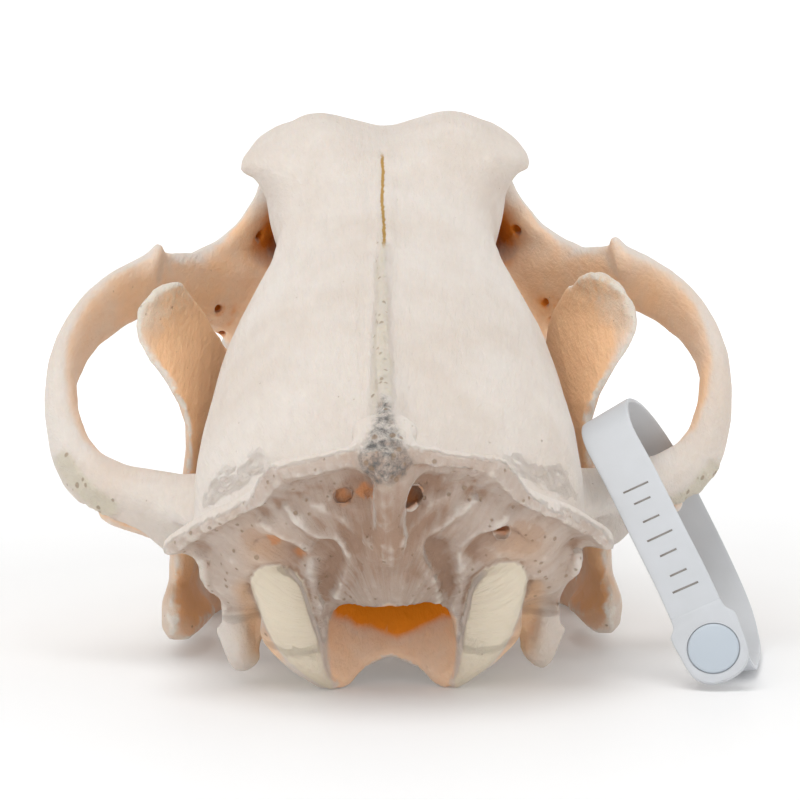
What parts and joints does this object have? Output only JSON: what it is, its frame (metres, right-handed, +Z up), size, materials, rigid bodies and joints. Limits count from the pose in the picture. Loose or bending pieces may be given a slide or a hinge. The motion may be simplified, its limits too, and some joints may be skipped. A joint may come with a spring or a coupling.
{
  "type": "wolf skull",
  "caption": "Life-size wolf skull with its lower jaw, lying as it rests with the nose raised, and a plastic loop tag closed round the right cheek arch.",
  "frame": {"origin": "on the floor under the middle of the whole, halfway along, across and at the height of the foot flats", "axes": "+Y towards the nose, +X towards the animal's right, +Z up; the skull lies nose up, its palate 17.7 degrees from level"},
  "size_m": [0.1442, 0.2675, 0.1106],
  "materials": {
    "bone": "dry bone, cleaned and whitened, ivory white with warm hollows",
    "jaw_bone": "dry bone, warmer where it is thin",
    "tag_plastic": "white satin plastic"
  },
  "bodies": {
    "root": {"cranium": "bone", "muzzle": "bone", "zygomatic_arch_right": "bone", "zygomatic_arch_left": "bone", "mandible_right": "jaw_bone", "mandible_left": "jaw_bone", "tag_band": "tag_plastic", "tag_head": "tag_plastic", "tag_button": "tag_plastic"}
  },
  "joints": []
}
